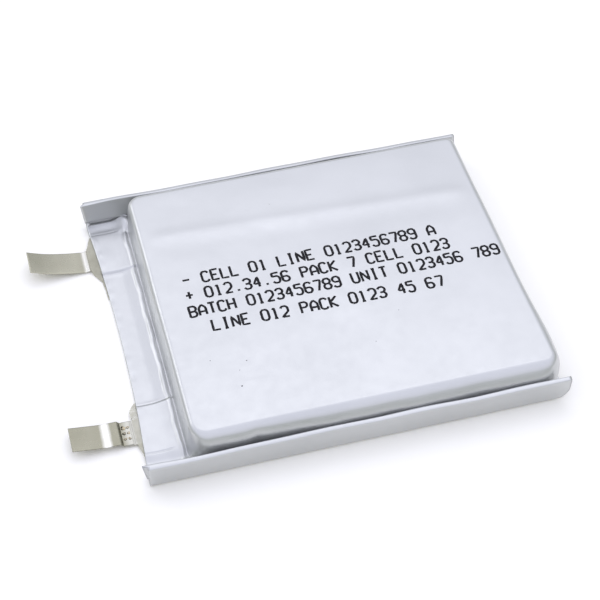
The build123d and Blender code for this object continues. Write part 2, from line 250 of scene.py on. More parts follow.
def spread(nodes, links, source, low, high, start=0.3, end=0.7):
    """A value mapped from start and end to low and high."""
    node = nodes.new("ShaderNodeMapRange")
    for key, value in (("From Min", start), ("From Max", end), ("To Min", low), ("To Max", high)):
        node.inputs[key].default_value = value
    links.new(source, node.inputs["Value"])
    return node.outputs["Result"]


def add_bump(nodes, links, shader, source, strength, depth_mm, below=None):
    node = nodes.new("ShaderNodeBump")
    node.inputs["Strength"].default_value = strength
    node.inputs["Distance"].default_value = depth_mm * MM
    links.new(source, node.inputs["Height"])
    if below:
        links.new(below, node.inputs["Normal"])
    links.new(node.outputs["Normal"], shader.inputs["Normal"])
    return node.outputs["Normal"]


def surface(name, low, high, metallic, rough, patch=300, grain=6000, depth=0.004, strength=0.35, stretch=None,
            **more):
    """A material with patchy colour, uneven roughness and a fine grain."""
    material, nodes, links, shader = new_material(name)
    shader.inputs["Metallic"].default_value = metallic
    patches = noise(nodes, links, patch)
    paint(nodes, links, shader, patches, low, high)
    fine = noise(nodes, links, grain, 3.0, stretch=stretch)
    links.new(spread(nodes, links, fine, *rough), shader.inputs["Roughness"])
    add_bump(nodes, links, shader, fine, strength, depth)
    for key, value in more.items():
        shader.inputs[key.replace("_", " ")].default_value = value
    return material


def laminate_material():
    """Aluminium under a clear nylon skin: satin metal with soft mottling and a fine grain."""
    material, nodes, links, shader = new_material("laminate")
    shader.inputs["Metallic"].default_value = 0.80
    shader.inputs["Coat Weight"].default_value = 0.12
    shader.inputs["Coat Roughness"].default_value = 0.30
    patches = noise(nodes, links, 90, 3.0)
    paint(nodes, links, shader, patches, (0.566, 0.574, 0.574), (0.598, 0.605, 0.605))
    mottle = noise(nodes, links, 900, 4.0)
    links.new(spread(nodes, links, mottle, 0.29, 0.37), shader.inputs["Roughness"])
    soft = noise(nodes, links, 260, 2.0, 0.4)
    below = add_bump(nodes, links, shader, soft, 0.25, 0.04)
    fine = noise(nodes, links, 5200, 3.0)
    add_bump(nodes, links, shader, fine, 0.10, 0.004, below)
    return material


def weld_material():
    """Nickel with brown heat tint round the nugget, in object space."""
    material, nodes, links, shader = new_material("weld")
    shader.inputs["Metallic"].default_value = 0.9
    patches = noise(nodes, links, 2600, 3.0)
    paint(nodes, links, shader, patches, (0.018, 0.012, 0.006), (0.60, 0.50, 0.32), 0.44, 0.60)
    fine = noise(nodes, links, 9000, 3.0)
    links.new(spread(nodes, links, fine, 0.25, 0.5), shader.inputs["Roughness"])
    add_bump(nodes, links, shader, fine, 0.5, 0.01)
    return material


def nickel_material(name, dark, light, painted_highlights):
    """Dull rolled nickel with a fine grain along the strip, with painted highlights: the last argument lists
    the stretches painted lighter, as (x of one end, x of the other, share of the painted highlight), in
    millimetres."""
    material = surface(name, dark, light, 0.92, (0.26, 0.31), patch=260, grain=2600, depth=0.0007,
                       stretch=(0.35, 1.0, 1.0))
    nodes, links = material.node_tree.nodes, material.node_tree.links
    shader = next(n for n in nodes if n.type == "BSDF_PRINCIPLED")
    if not painted_highlights:
        return material
    waver_m = 0.00025  # the ends of a painted highlight waver by this, half of it on average
    coordinates, split = nodes.new("ShaderNodeTexCoord"), nodes.new("ShaderNodeSeparateXYZ")
    links.new(coordinates.outputs["Object"], split.inputs["Vector"])
    waver = nodes.new("ShaderNodeMath")
    waver.operation, waver.inputs[1].default_value = "MULTIPLY_ADD", waver_m
    links.new(noise(nodes, links, 500, 2.0), waver.inputs[0])
    links.new(split.outputs["X"], waver.inputs[2])
    colour = shader.inputs["Base Color"].links[0].from_socket
    # each stretch is a painted highlight: the base colour is mixed towards a near-white nickel over it
    for start, end, share in painted_highlights:
        low, high = min(start, end) * MM + waver_m / 2, max(start, end) * MM + waver_m / 2
        along = spread(nodes, links, waver.outputs[0], 0.0, 1.0, low, high)
        highlight_band = ramp(nodes, links, along, (0, 0, 0), (0, 0, 0), 0.0, 1.0)
        for place in (0.42, 0.62):
            highlight_band.node.color_ramp.elements.new(place).color = (share, share, share, 1)
        mix = nodes.new("ShaderNodeMix")
        mix.data_type = "RGBA"
        sockets = {(socket.name, socket.type): socket for socket in mix.inputs}
        links.new(highlight_band, sockets["Factor", "VALUE"])
        links.new(colour, sockets["A", "RGBA"])
        sockets["B", "RGBA"].default_value = (0.93, 0.92, 0.88, 1)
        colour = next(o for o in mix.outputs if o.type == "RGBA")
    links.new(colour, shader.inputs["Base Color"])
    return material


LAMINATE = laminate_material()
NICKEL = nickel_material("nickel", (0.335, 0.324, 0.262), (0.380, 0.368, 0.302), [])
# the stretches listed for the negative tab and the lead are painted highlights: at the tab's bend by its
# film, and on the lead's flat end and its upper bend
NEGATIVE_NICKEL = nickel_material("nickel_negative", (0.395, 0.382, 0.296), (0.440, 0.426, 0.336),
                                  [(-24.00, -23.12, 0.62)])
LEAD_NICKEL = nickel_material("nickel_lead", (0.290, 0.280, 0.212), (0.335, 0.324, 0.252),
                              [(-24.05, -22.60, 0.32), (-26.35, -25.15, 0.85)])
ALUMINIUM_TAB = surface("aluminium_tab", (0.50, 0.49, 0.43), (0.58, 0.57, 0.50), 0.9, (0.30, 0.42), patch=500)
WELD = weld_material()
# heat-sealed polymer film: olive-beige, milky and half clear
SEALING_FILM = surface("sealing_film", (0.52, 0.50, 0.38), (0.68, 0.66, 0.53), 0.0, (0.28, 0.45), patch=700,
                       grain=3500, depth=0.01, strength=0.3, Transmission_Weight=0.35, IOR=1.45)
INK = surface("ink", (0.003, 0.003, 0.004), (0.012, 0.012, 0.014), 0.0, (0.50, 0.70), patch=2500, grain=9000,
              depth=0.006, Specular_IOR_Level=0.22)
COPPER_FOIL = surface("copper_foil", (0.62, 0.27, 0.15), (0.72, 0.36, 0.22), 0.95, (0.25, 0.40))
ALUMINIUM_FOIL = surface("aluminium_foil", (0.72, 0.73, 0.75), (0.80, 0.81, 0.83), 0.95, (0.22, 0.36))
CATHODE = surface("cathode_coating", (0.03, 0.03, 0.033), (0.05, 0.05, 0.052), 0.0, (0.6, 0.8), depth=0.008)
ANODE = surface("anode_coating", (0.018, 0.018, 0.02), (0.035, 0.035, 0.037), 0.05, (0.5, 0.7), depth=0.008)
SEPARATOR = surface("separator", (0.82, 0.83, 0.84), (0.90, 0.90, 0.90), 0.0, (0.45, 0.6))
TAPE = surface("tape", (0.62, 0.42, 0.10), (0.74, 0.52, 0.16), 0.0, (0.25, 0.40))

CAD_MATERIALS = {
    "negative_tab_inner": NICKEL, "positive_tab_inner": ALUMINIUM_TAB,
    "cathode_foil": ALUMINIUM_FOIL, "cathode_coating_inner": CATHODE, "cathode_coating_outer": CATHODE,
    "anode_foil": COPPER_FOIL, "anode_coating_inner": ANODE, "anode_coating_outer": ANODE,
    "separator_inner": SEPARATOR, "separator_outer": SEPARATOR,
    "negative_tab_tape": TAPE, "positive_tab_tape": TAPE, "termination_tape": TAPE, "bottom_tape": TAPE,
}
for node, material in CAD_MATERIALS.items():
    frame["nodes"][node].data.materials.clear()
    frame["nodes"][node].data.materials.append(material)


# ---- the side seals: one fold section for both films ----
LINE_DIRECTION = np.array([math.sin(FLANGE_LEAN), math.cos(FLANGE_LEAN)])
LINE_NORMAL = np.array([math.cos(FLANGE_LEAN), -math.sin(FLANGE_LEAN)])


def centre_inside(radius, z):
    """(y, z) of the centre, at height z, of an arc that touches the outer face of the +Y side seal."""
    return np.array([FLANGE_FOOT_Y + (-radius - z * LINE_NORMAL[1]) / LINE_NORMAL[0], z])


ROOT_CENTRE = centre_inside(FLANGE_ROOT, FLANGE_ROOT)
TOP_CENTRE = centre_inside(FOLD_RADIUS, FLANGE_TOP_Z - FOLD_RADIUS)
ROOT_Y = ROOT_CENTRE[0]


def fold_section(depth, root_steps=7, line_steps=12, top_steps=17, hem_steps=9):
    """(y, z) points of the +Y side from the foot of the fold to the raw edge of the hem, for a film whose
    middle lies depth inside the outer face, and the number of the point at the very top."""
    root = arc(ROOT_CENTRE, FLANGE_ROOT - depth, -90, -math.degrees(FLANGE_LEAN), root_steps)
    turn = np.radians(np.linspace(0, 180, top_steps))
    across = np.sign(np.cos(turn)) * np.abs(np.cos(turn)) ** FOLD_SQUARE
    rise = np.sin(turn) ** FOLD_SQUARE
    offset = across[:, None] * LINE_NORMAL + rise[:, None] * LINE_DIRECTION
    top = TOP_CENTRE + (FOLD_RADIUS - depth) * offset
    line = resample([root[-1], top[0]], line_steps)[1:-1]
    hem_end = top[-1] - LINE_DIRECTION * (HEM_DEPTH - FOLD_RADIUS)
    hem = resample([top[-1], hem_end], hem_steps)[1:]
    return np.vstack([root, line, top, hem]), len(root) + len(line) + len(top) // 2


def leaf_share(point, fold_index):
    """0 on the outer leaf of a side seal and 1 on the inner one."""
    return float(smooth(fold_index, fold_index + 5, point))


def flange_wobble(x, side):
    """How far the top of a side seal wanders outwards along its length."""
    if side > 0:
        return 0.07 * np.sin(0.22 * x + 0.6) + 0.03 * np.sin(0.71 * x + 2.0)
    return 0.06 * np.sin(0.19 * x - 0.8) + 0.035 * np.sin(0.63 * x + 0.4) - 0.05 * bump(x, 8, 5)


def hem_gap(x, side):
    """How far the inner leaf stands off the outer one."""
    opening = 0.17 * smooth(-17.5, -22.5, x) if side < 0 else 0.10 * smooth(-19, -22.5, x)
    return opening + 0.03 * (1 + np.sin(0.5 * x + side))


def flange_point(x, y, z, side, hem_share):
    """Places a section point on one side seal: rounded lower corner at the folded end, wandering top,
    stepped leaves at the tab end. hem_share is 0 on the outer leaf and 1 on the inner one."""
    below = FLANGE_END_RADIUS - np.clip(z, 0, FLANGE_END_RADIUS)
    end = FOLD_X - 0.02 - (FLANGE_END_RADIUS - math.sqrt(max(FLANGE_END_RADIUS**2 - below**2, 0)))
    squeeze_x = 15.0  # from here on the points are drawn in to the rounded end
    if x > squeeze_x:
        x = squeeze_x + (x - squeeze_x) * (end - squeeze_x) / (FOLD_X - squeeze_x)
    height = max(z, 0) / FLANGE_TOP_Z
    leaf_step = 0.55 if side < 0 else 0.38
    x -= float(smooth(-19.5, TAB_EDGE_X, x)) * hem_share * height * leaf_step
    y = y + float(flange_wobble(x, side)) * height**1.3 - hem_share * float(hem_gap(x, side)) * height
    return (x, side * y, z)


# ---- the cup film ----
CORNER_STEPS, LONG_STEPS, SHORT_STEPS = 12, 76, 112
BORDER_RINGS = 32


def crease_spaced(count, low, high):
    """count + 1 places from low to high, closer together at the sides of the tab pads."""
    fine = np.linspace(low, high, 4001)
    density = 1 + sum(4.5 * bump(fine, y, 0.55) for pad in PADS_Y for y in pad)
    share = np.r_[0, np.cumsum((density[1:] + density[:-1]) / 2)]
    return np.interp(np.linspace(0, share[-1], count + 1), share, fine)


def foot_and_border():
    """The foot of the cup, its outward normals and the film's outer border, point for point and
    anticlockwise from the near tab-side corner."""
    foot, normal, border = [], [], []
    x0, x1 = CUP_FOOT_X, CUP_MID_X + CUP_HALF_X
    y0, y1 = -CUP_HALF_Y, CUP_HALF_Y
    # the centre and radius of each corner
    near_tab = (x0 + CORNER_NEAR_TAB, y0 + CORNER_NEAR_TAB, CORNER_NEAR_TAB)
    near_fold = (x1 - CORNER_NEAR_FOLD, y0 + CORNER_NEAR_FOLD, CORNER_NEAR_FOLD)
    far_fold = (x1 - CORNER_FAR_FOLD, y1 - CORNER_FAR_FOLD, CORNER_FAR_FOLD)
    far_tab = (x0 + CORNER_FAR_TAB, y1 - CORNER_FAR_TAB, CORNER_FAR_TAB)

    def corner_half(corner, start, end, edge):
        angles = np.radians(np.linspace(start, end, CORNER_STEPS + 1))[:-1]
        n = np.stack([np.cos(angles), np.sin(angles)], 1)
        foot.append(np.array(corner[:2]) + corner[2] * n)
        normal.append(n)
        border.append((edge if len(edge) == CORNER_STEPS + 1 else resample(edge, CORNER_STEPS))[:-1])

    def straight(points, n, edge):
        foot.append(points[:-1])
        normal.append(np.tile(n, (len(points) - 1, 1)))
        border.append(edge[:-1])

    def along(points, x=None, y=None):
        """The same places with one coordinate replaced."""
        place = [np.broadcast_to(points if value is None else value, points.shape) for value in (x, y)]
        return np.stack(place, 1)

    near_xs = np.linspace(near_tab[0], near_fold[0], LONG_STEPS + 1)
    far_xs = np.linspace(far_fold[0], far_tab[0], LONG_STEPS + 1)
    fold_ys = np.linspace(near_fold[1], far_fold[1], SHORT_STEPS + 1)
    tab_ys = crease_spaced(SHORT_STEPS, near_tab[1], far_tab[1])[::-1]
    fold_x, tab_x = FOLD_X - FILM, float(edge_x(ROOT_Y))
    far_nose = arc((0, 0), 1, 0, 90, 25) * [NOSE_X, NOSE_Y] + [fold_x - NOSE_X, ROOT_Y - NOSE_Y]
    near_nose = (far_nose * [1, -1])[::-1]
    middle = len(far_nose) // 2

    corner_half(near_tab, 225, 270, [(tab_x, -ROOT_Y), (near_xs[0], -ROOT_Y)])
    straight(along(near_xs, y=y0), (0, -1), along(near_xs, y=-ROOT_Y))
    corner_half(near_fold, 270, 315, np.vstack([(near_xs[-1], -ROOT_Y), near_nose[:middle + 1]]))
    corner_half(near_fold, 315, 360, np.vstack([near_nose[middle:], (fold_x, fold_ys[0])]))
    straight(along(fold_ys, x=x1), (1, 0), along(fold_ys, x=fold_x))
    corner_half(far_fold, 0, 45, np.vstack([(fold_x, fold_ys[-1]), far_nose[:middle + 1]]))
    corner_half(far_fold, 45, 90, np.vstack([far_nose[middle:], (far_xs[0], ROOT_Y)]))
    straight(along(far_xs, y=y1), (0, 1), along(far_xs, y=ROOT_Y))
    corner_half(far_tab, 90, 135, [(far_xs[-1], ROOT_Y), (tab_x, ROOT_Y)])
    edge = crease_spaced(CORNER_STEPS, tab_ys[0], ROOT_Y)[::-1]
    corner_half(far_tab, 135, 180, np.stack([edge_x(edge), edge], 1))
    straight(along(tab_ys, x=x0), (-1, 0), along(tab_ys, x=edge_x(tab_ys)))
    edge = crease_spaced(CORNER_STEPS, -ROOT_Y, tab_ys[-1])[::-1]
    corner_half(near_tab, 180, 225, np.stack([edge_x(edge), edge], 1))
    return np.vstack(foot), np.vstack(normal), np.vstack(border)


def wandering_y(x, y):
    """y measured against the sides of the pads, which wander a little along x."""
    return y + 0.10 * np.sin((x - TAB_EDGE_X) * 0.9)


def pad_height(x, y):
    """0 on the flat terrace, 1 over a tab's sealing films: a narrow step towards the middle of the terrace,
    a slow fall towards the side seal."""
    place = wandering_y(x, y)
    total = 0
    for side, inner, outer in ((1, FAR_PAD_INNER, FAR_PAD_OUTER), (-1, NEAR_PAD_INNER, NEAR_PAD_OUTER)):
        total = total + (smooth(inner - side * CREASE, inner + side * CREASE, place)
                         * smooth(outer + side * PAD_FALL, outer - side * CREASE, place))
    return total


def corner_lift(x, y):
    """How far the terrace curls up into the side seals at the tab end."""
    return CORNER_LIFT * smooth(17.9, 19.35, np.abs(y)) * smooth(-17.2, -19.6, x)


nick_draw = random.Random(5)
# (y, distance from the trimmed edge, width, height) of each nick
NICKS = [(nick_draw.uniform(-17, 17), nick_draw.uniform(0.1, 0.7), nick_draw.uniform(0.22, 0.5),
          nick_draw.choice((-1, 1)) * nick_draw.uniform(0.02, 0.045)) for _ in range(26)]


def border_height(x, y):
    """The middle of the cup film on the terrace and in the narrow channels round the cup."""
    pad, place = pad_height(x, y), wandering_y(x, y)
    z = CUP_MID_Z + PAD_RISE * pad
    z = z + 0.05 * pad * bump(y, 13.2, 1.6) * bump(x, -21.0, 1.0)
    z = z + corner_lift(x, y)
    # a low lip beside each pad's inner step, and a thin groove along its outer side
    for side_y in (FAR_PAD_INNER - 1.8 * CREASE, NEAR_PAD_INNER + 1.8 * CREASE):
        z = z + 0.030 * bump(place, side_y, CREASE) * smooth(-19.0, -19.6, x)
    for side_y in (FAR_PAD_OUTER, NEAR_PAD_OUTER):
        z = z - GROOVE_DEPTH * bump(place, side_y, 0.10) * smooth(-18.9, -19.5, x)
    # a bead of unsealed film along the foot of the cup: a slow rise and a wavy crest
    middle = smooth(CUP_HALF_Y - 0.1, CUP_HALF_Y - 2.6, np.abs(y))
    z = z + middle * (BEAD_RISE - 0.45 * PAD_RISE * pad) * smooth(BEAD_START_X, BEAD_RISEN_X, x)
    crest_x = CREST_X + 0.05 * np.sin(1.1 * y) + 0.03 * np.sin(2.7 * y + 1.0)
    z = z + middle * (CREST_RISE + 0.03 * np.sin(0.8 * y + 0.5)) * bump(x, crest_x, CREST_WIDTH)
    # the film is drawn up between the corners of the cup and the side seals
    gusset = bump(x, CUP_FOOT_X, GUSSET_WIDTH) * smooth(16.9, 19.1, np.abs(y))
    z = z + np.where(y > 0, GUSSET_FAR, GUSSET_NEAR) * gusset
    # small puckers and nicks left by the sealing bars along the trimmed edge
    pucker = 0.020 * bump(x - edge_x(y), 0.35, 0.35) * np.sin(2.9 * y) * np.sin(1.3 * y + 1)
    for place, inset, width, height in NICKS:
        pucker = pucker + height * bump(y, place, width) * bump(x - edge_x(y), inset, 0.22)
    return z + pucker


def wall_bulge(x, y, normal, z):
    """How far a wall of the cup stands out from its drawn shape: the near long wall most."""
    near = NEAR_BULGE + 0.26 * smooth(-14, 4, x) + 0.035 * np.sin(0.60 * x + 3.4) + 0.020 * np.sin(1.35 * x)
    near = near - 0.12 * bump(x, -10.9, 0.55)
    near = near * smooth(CUP_MID_X + CUP_HALF_X + 1.0, CUP_MID_X + CUP_HALF_X - 2.5, x)
    near = near * smooth(-18.6, -16.4, x)
    far = FAR_BULGE + 0.04 * np.sin(0.5 * x)
    fold = FOLD_BULGE + 0.05 * np.sin(0.4 * y) + 0.42 * bump(y, -14.5, 4.5)
    tab = TAB_BULGE + 0.04 * np.sin(0.45 * y + 1)
    side = (np.where(normal[:, 1] < 0, near, far) * normal[:, 1] ** 2
            + np.where(normal[:, 0] > 0, fold, tab) * normal[:, 0] ** 2)
    height = np.clip((z - BULGE_FOOT_Z) / (CUP_TOP_Z - BULGE_FOOT_Z), 0, 1)
    return side * np.sin(math.pi * height**1.25)


def crown(x, y):
    """How far the top stands above the cup's shoulder: nearly flat, with a tape edge showing through, broad
    shallow waves and a dent at the near tab-side corner."""
    inside = np.minimum(CUP_HALF_X - np.abs(x - CUP_MID_X), CUP_HALF_Y - np.abs(y)) - CROWN_INSET
    z = CROWN_RISE * (1 - np.exp(-np.clip(inside, 0, None) / 2.2))
    ridge_y = TAPE_EDGE_Y - 0.05 * x
    tape_edge = TAPE_EDGE_RISE * bump(y, ridge_y, 1.0) - 0.020 * bump(y, ridge_y - 2.3, 1.4)
    waves = (0.018 * np.sin(0.33 * x + 0.16 * y) + 0.014 * np.sin(0.21 * x - 0.41 * y + 1.2)
             + 0.006 * np.sin(0.95 * x + 0.30 * y) * np.sin(0.70 * y - 0.2 * x))
    z = z + smooth(0, 2.5, inside) * tape_edge
    z = z + smooth(0, 3, inside) * waves
    return z - 0.045 * bump(x, -16.8, 3.2) * bump(y, -17.2, 2.6)


def shoulder_profile():
    """(inset, z) of the film's middle from the foot of the cup to the edge of its flat top."""
    inward = np.array([math.cos(CUP_DRAFT), -math.sin(CUP_DRAFT)])
    top_z = CUP_SHOULDER_Z - FILM / 2
    wall_top_z = top_z - CUP_SHOULDER + CUP_SHOULDER * math.sin(CUP_DRAFT)
    wall_top = np.array([0.05 + wall_top_z * math.tan(CUP_DRAFT), wall_top_z])
    centre = wall_top + inward * CUP_SHOULDER
    foot = np.array([(0.0, CUP_MID_Z), (0.02, CUP_MID_Z + 0.03), (0.06, CUP_MID_Z + 0.10)])
    wall = resample([foot[-1], wall_top], 9)[1:]
    shoulder = arc(centre, CUP_SHOULDER, 180 - math.degrees(CUP_DRAFT), 90, 13)[1:]
    return np.vstack([foot, wall, shoulder])


def cup_rings(foot, normal, border):
    """Rings of points from the film's border over the terrace, up the walls and round the shoulder."""
    rings = []
    for s in np.linspace(1, 0, BORDER_RINGS + 1)[:-1] ** 1.15:
        xy = foot + (border - foot) * s
        rings.append(np.c_[xy, border_height(xy[:, 0], xy[:, 1])])
    for inset, z in shoulder_profile():
        xy = foot - normal * inset
        low = border_height(xy[:, 0], xy[:, 1])
        zz = np.maximum(z, low + (z - CUP_MID_Z) * 0.25)
        zz = zz + crown(xy[:, 0], xy[:, 1]) * smooth(3, CUP_SHOULDER_Z, z)
        out = wall_bulge(xy[:, 0], xy[:, 1], normal, zz)
        rings.append(np.c_[xy + normal * out[:, None], zz])
    return rings


def fill_top(verts, faces, top, last):
    """Fills the flat top from the four sides of its ring (a Coons patch); last is the ring's first vertex."""
    count, long_n, short_n = len(top), LONG_STEPS + 2 * CORNER_STEPS, SHORT_STEPS + 2 * CORNER_STEPS
    near = list(range(long_n + 1))
    right = [long_n + j for j in range(short_n + 1)]
    far = [(2 * long_n + short_n - i) % count for i in range(long_n + 1)]
    left = [(count - j) % count for j in range(short_n + 1)]
    index = {(i, 0): last + near[i] for i in range(long_n + 1)}
    index.update({(i, short_n): last + far[i] for i in range(long_n + 1)})
    index.update({(0, j): last + left[j] for j in range(short_n + 1)})
    index.update({(long_n, j): last + right[j] for j in range(short_n + 1)})
    for i in range(1, long_n):
        for j in range(1, short_n):
            u, v = i / long_n, j / short_n
            x, y, _ = ((1 - v) * top[near[i]] + v * top[far[i]] + (1 - u) * top[left[j]] + u * top[right[j]]
                       - (1 - u) * (1 - v) * top[near[0]] - u * (1 - v) * top[near[-1]]
                       - (1 - u) * v * top[far[0]] - u * v * top[far[-1]])
            index[i, j] = len(verts)
            verts.append((x, y, CUP_SHOULDER_Z - FILM / 2 + float(crown(x, y))))
    for i in range(long_n):
        for j in range(short_n):
            faces.append((index[i, j], index[i + 1, j], index[i + 1, j + 1], index[i, j + 1]))


def wrap_fold(verts, faces, foot, normal, border):
    """Carries the film round the fold, down to the middle of the back film."""
    wrap_start, wrap_full = FOLD_X - FILM - 0.8, FOLD_X - FILM - 0.3
    run = [k for k, (x, _) in enumerate(border) if x > wrap_start]
    previous = run
    for angle in np.radians([60, 30, 0, -45, -90]):
        ring = []
        for k in run:
            n = border[k] - (foot[k] - normal[k] * 3)
            n = n / np.linalg.norm(n)
            reach = FILM / 2 * math.cos(angle) * smooth(wrap_start, wrap_full, border[k][0])
            p = border[k] + n * reach
            ring.append(len(verts))
            verts.append((p[0], p[1], FILM + FILM / 2 * math.sin(angle)))
        for a in range(len(ring) - 1):
            faces.append((previous[a + 1], previous[a], ring[a], ring[a + 1]))
        previous = ring


def inner_seals(verts, faces, border):
    """The inner film of both side seals, which goes on from the film's border."""
    section, fold_index = fold_section(FILM * 1.5)
    for side in (-1, 1):
        run = [k for k, (x, y) in enumerate(border) if abs(y - side * ROOT_Y) < 1e-6 and x < FOLD_X - NOSE_X]
        run.sort(key=lambda k: border[k][0])
        xs = border[run, 0]
        lifts = border_height(xs, np.full(len(run), side * ROOT_Y)) - CUP_MID_Z
        previous = run
        for n, (y, z) in enumerate(section[1:], 1):
            ring = []
            for start_x, lift in zip(xs, lifts):
                along = (start_x - xs[0]) / (xs[-1] - xs[0])
                x = TAB_EDGE_X + along * (FOLD_X - TAB_EDGE_X)
                x = start_x + (x - start_x) * float(smooth(0, 2, n))
                px, py, pz = flange_point(x, y, z, side, leaf_share(n, fold_index))
                ring.append(len(verts))
                verts.append((px, py, pz + lift * float(smooth(1.6, 0.1, z))))
            for a in range(len(ring) - 1):
                quad = (previous[a], previous[a + 1], ring[a + 1], ring[a])
                faces.append(quad if side > 0 else quad[::-1])
            previous = ring


def cup_film():
    """The drawn half of the pouch: top, walls, terrace, the wrap round the fold, and the inner film of both
    side seals."""
    foot, normal, border = foot_and_border()
    rings, count = cup_rings(foot, normal, border), len(foot)
    verts = [tuple(p) for ring in rings for p in ring]
    faces = grid_faces(len(rings), count, closed=True)
    fill_top(verts, faces, rings[-1], (len(rings) - 1) * count)
    wrap_fold(verts, faces, foot, normal, border)
    inner_seals(verts, faces, border)
    piece = make_piece("pouch_cup_film", verts, faces, LAMINATE)
    solidify(piece, FILM)
    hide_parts("pouch_cup")


def back_film():
    """The flat half of the pouch: back, and the outer film of both side seals with its hem."""
    section, fold_index = fold_section(FILM / 2, line_steps=14)
    flat = np.linspace(0, 1, 34)[:-1] * ROOT_Y
    half = [(y, BACK_MID_Z, 0.0) for y in flat]
    half += [(y, z, leaf_share(n, fold_index)) for n, (y, z) in enumerate(section)]
    columns = np.unique(np.r_[np.linspace(0, 0.08, 14), np.linspace(0.08, 0.9, 60), np.linspace(0.9, 1, 16)])
    verts, rows = [], [(-1, *p) for p in half[:0:-1]] + [(1, *p) for p in half]
    for side, y, z, share in rows:
        start = float(edge_x(y))
        for c in columns:
            if y <= ROOT_Y + 1e-6 and z < FILM:
                turn = max(abs(y) - (ROOT_Y - NOSE_Y), 0.0) / NOSE_Y
                end = FOLD_X - FILM - NOSE_X * (1 - math.sqrt(max(1 - turn**2, 0)))
                x = start + c * (end - start)
                inside = smooth(ROOT_Y, ROOT_Y - 4, abs(y))
                wave = (BACK_WAVE * math.sin(0.31 * x) * math.sin(0.27 * side * y + 0.5)
                        * float(inside * smooth(0, 0.15, c) * smooth(1, 0.85, c)))
                verts.append((x, side * y, z + wave + BACK_WAVE * float(inside)))
            else:
                verts.append(flange_point(TAB_EDGE_X + c * (FOLD_X - TAB_EDGE_X), y, z, side, share))
    faces = grid_faces(len(rows), len(columns))
    piece = make_piece("pouch_back_film", verts, faces, LAMINATE)
    solidify(piece, FILM)
    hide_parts("pouch_back")


cup_film()
back_film()


# ---- tabs ----
def strip(name, path, y_low, y_high, material, body=None, arch=None):
    """A flat strip swept along a path of (x, z) middle points, with rounded edges and closed ends.
    arch says how far its middle stands up from its edges."""
    path = np.asarray(path, float)
    direction = np.gradient(path, axis=0)
    direction /= np.linalg.norm(direction, axis=1)[:, None]
    up = np.stack([-direction[:, 1], direction[:, 0]], 1)
    up *= np.sign(up[:, 1:2])
    half, across, radius = TAB_THICK / 2, (y_high - y_low) / 2, STRIP_EDGE_RADIUS
    loop = []
    for cy, cz, a in ((1, 1, 0), (-1, 1, 90), (-1, -1, 180), (1, -1, 270)):
        loop += [(y, z) for y, z in arc((cy * (across - radius), cz * (half - radius)), radius, a, a + 90, 4)]
        if cz * cy > 0:
            loop += [(y, cz * half) for y in np.linspace(cy * across * 0.9, -cy * across * 0.9, 13)]
    middle = (y_low + y_high) / 2
    verts, n = [], len(loop)
    for k, (x, z) in enumerate(path):
        for y, t in loop:
            rise = t + (arch(x, y) if arch else 0.0)
            verts.append((x + up[k][0] * rise, middle + y, z + up[k][1] * rise))
    faces = grid_faces(len(path), n, closed=True)
    faces.append(tuple(range(n))[::-1])
    faces.append(tuple(range((len(path) - 1) * n, len(path) * n)))
    piece = make_piece(name, verts, faces, material, body)
    align_faces(piece)
    return piece


def negative_arch(x, y):
    """The negative tab is slightly hollow below, from past its bend to its tip."""
    return 0.025 * (1 - (y / TAB_HALF_WIDTH) ** 2) * float(smooth(-24.4, -26.5, x))


neg_low, neg_high = box_mm("negative_tab_outer")
neg_z = neg_low[2] + TAB_THICK / 2
negative_path = spline([
    (neg_high[0] + 0.005, neg_z), (-23.42, neg_z - 0.005), (-23.60, 0.205), (-23.74, 0.175), (-23.92, 0.200),
    (-24.45, 0.295), (-25.2, 0.415), (-26.1, 0.595), (-27.0, 0.800), (-27.62, 0.975), (-28.4, 1.230),
    (-29.2, 1.555), (neg_low[0] + 0.02, 1.880)], 7)
NEGATIVE = strip("negative_tab_strip", negative_path, neg_low[1], neg_high[1], NEGATIVE_NICKEL,
                 arch=negative_arch)
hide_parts("negative_tab_outer")
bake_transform(NEGATIVE)

pos_low, pos_high = box_mm("positive_tab_outer")
pos_z = (pos_low[2] + pos_high[2]) / 2
POSITIVE = strip("positive_tab_strip", [(x, pos_z) for x in np.linspace(pos_high[0] + 0.005, pos_low[0], 26)],
                 pos_low[1], pos_high[1], ALUMINIUM_TAB)
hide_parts("positive_tab_outer")
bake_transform(POSITIVE)

lead_low, lead_high = box_mm("positive_nickel_strip")
pad_z = lead_low[2] + TAB_THICK / 2
nickel_path = spline([
    (lead_high[0], pad_z), (-23.4, pad_z), (-23.8, pad_z), (-24.08, pad_z + 0.005), (-24.17, pad_z + 0.04),
    (-24.27, pad_z + 0.17), (-24.37, pad_z + 0.29), (-24.50, pad_z + 0.33), (-24.8, pad_z + 0.335),
    (-25.3, pad_z + 0.325), (-25.75, pad_z + 0.335), (-26.13, pad_z + 0.355), (-26.8, pad_z + 0.430),
    (-27.6, pad_z + 0.545), (-28.5, pad_z + 0.680), (lead_low[0] + 0.01, lead_high[2] - 0.055)], 6)
LEAD = strip("positive_nickel_lead", nickel_path, lead_low[1], lead_high[1], LEAD_NICKEL,
             "positive_tab")
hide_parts("positive_nickel_strip")


def add_disc(verts, faces, middle, rings):
    """A small crater or dot: a middle point, rings of points from the inside out, and a flat back."""
    base, around = len(verts) + 1, len(rings[0])
    verts.append(middle)
    for ring in rings:
        verts.extend(ring)
    faces.extend((base - 1, base + k, base + (k + 1) % around) for k in range(around))
    quads = grid_faces(len(rings), around, closed=True)
    faces.extend((base + a, base + d, base + c, base + b) for a, b, c, d in quads)
    outer = base + (len(rings) - 1) * around
    faces.append(tuple(outer + k for k in range(around))[::-1])


